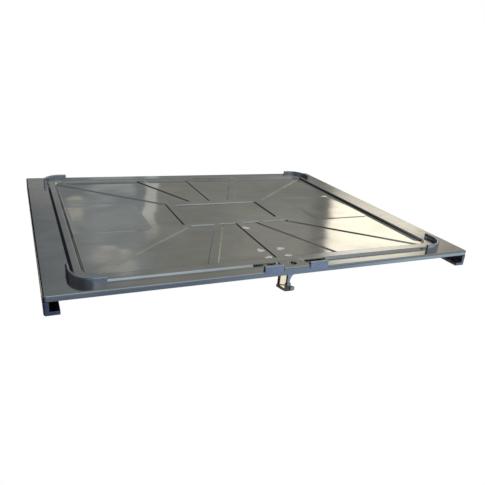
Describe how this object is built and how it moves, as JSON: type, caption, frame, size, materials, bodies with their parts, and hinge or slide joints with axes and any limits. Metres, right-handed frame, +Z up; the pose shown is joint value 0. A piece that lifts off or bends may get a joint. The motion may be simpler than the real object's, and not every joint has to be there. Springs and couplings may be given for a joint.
{
  "type": "pressed steel access cover",
  "caption": "Pressed steel access cover with a raised sealing ridge, radiating ribs, side channels, corner guards and a spring latch under a keyhole.",
  "frame": {"origin": "under the middle of the cover, on the level of the latch hook's lowest point", "axes": "+Z up through the cover, -Y towards the edge with the keyhole and latch, +X to the right of it"},
  "size_m": [0.6, 0.48, 0.051],
  "materials": {
    "cover_steel": "bright rolled sheet, lightly brushed",
    "channel_steel": "satin",
    "guard_steel": "satin",
    "latch_steel": "bright plated",
    "hardware_steel": "bright",
    "spring_steel": "dark drawn wire",
    "weld_metal": "ground weld",
    "seal_rubber": "matte"
  },
  "bodies": {
    "cover": {"cover_plate": "cover_steel", "side_channel_left": "channel_steel", "side_channel_right": "channel_steel", "latch_guard_left": "guard_steel", "latch_guard_right": "guard_steel", "corner_guard_front_left": "guard_steel", "corner_guard_front_right": "guard_steel", "corner_guard_back_left": "guard_steel", "corner_guard_back_right": "guard_steel", "ridge_seal": "seal_rubber", "latch_bracket": "latch_steel", "hook_pin": "hardware_steel", "pin_washer": "hardware_steel", "pin_clip": "hardware_steel", "spacer_left": "hardware_steel", "spacer_right": "hardware_steel", "stop_pin": "hardware_steel", "torsion_spring": "spring_steel", "plug_weld_1": "weld_metal", "plug_weld_2": "weld_metal", "plug_weld_3": "weld_metal", "plug_weld_4": "weld_metal", "plug_weld_5": "weld_metal"},
    "hook": {"latch_hook": "latch_steel"}
  },
  "joints": [
    {"name": "hook_pivot", "type": "hinge", "parent": "cover", "child": "hook", "pos_m": [0, -0.203, 0.029], "axis": [1, 0, 0], "range_deg": [0, 30], "stiffness_Nm_per_rad": 0.27, "springref_deg": -51.57, "deforming": ["torsion_spring"]}
  ]
}
